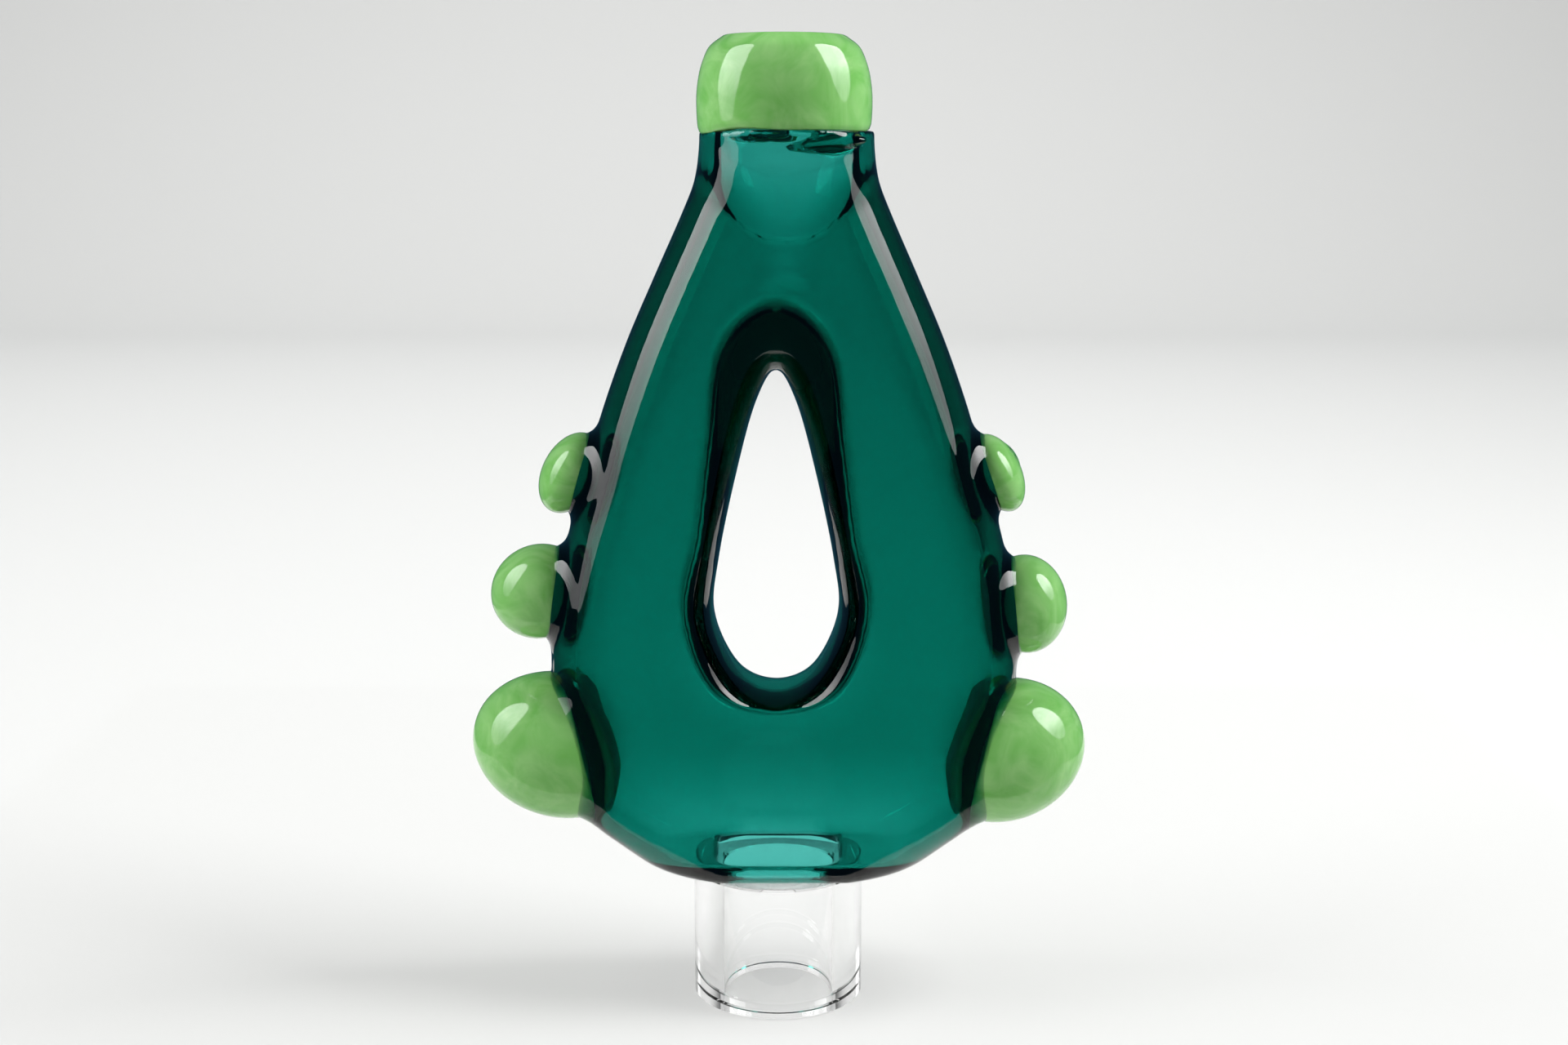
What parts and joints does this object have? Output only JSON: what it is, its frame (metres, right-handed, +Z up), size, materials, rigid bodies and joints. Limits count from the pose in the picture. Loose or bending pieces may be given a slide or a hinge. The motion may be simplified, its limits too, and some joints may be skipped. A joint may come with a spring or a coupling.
{
  "type": "blown glass mouthpiece",
  "caption": "Hollow teal glass mouthpiece: flattened teardrop body with a window through it, lime lip wrap and side marbles, on a clear stem tube.",
  "frame": {"origin": "centre of the stem tube's lower end, in the plane it stands on", "axes": "+Z up the stem tube towards the mouth, +X towards the right-hand marbles seen from the front, +Y towards the back through the window"},
  "size_m": [0.0725, 0.0214, 0.1118],
  "materials": {
    "teal_glass": "clear, glossy",
    "lime_glass": "opaque, glossy",
    "clear_glass": "clear, cut ends"
  },
  "bodies": {
    "root": {"stem_tube": "clear_glass", "body_shell": "teal_glass", "neck_tube": "teal_glass", "lip_wrap": "lime_glass", "marble_left_upper": "lime_glass", "marble_left_middle": "lime_glass", "marble_left_lower": "lime_glass", "marble_right_upper": "lime_glass", "marble_right_middle": "lime_glass", "marble_right_lower": "lime_glass", "seat_left_upper": "teal_glass", "seat_left_middle": "teal_glass", "seat_left_lower": "teal_glass", "seat_right_upper": "teal_glass", "seat_right_middle": "teal_glass", "seat_right_lower": "teal_glass"}
  },
  "joints": []
}
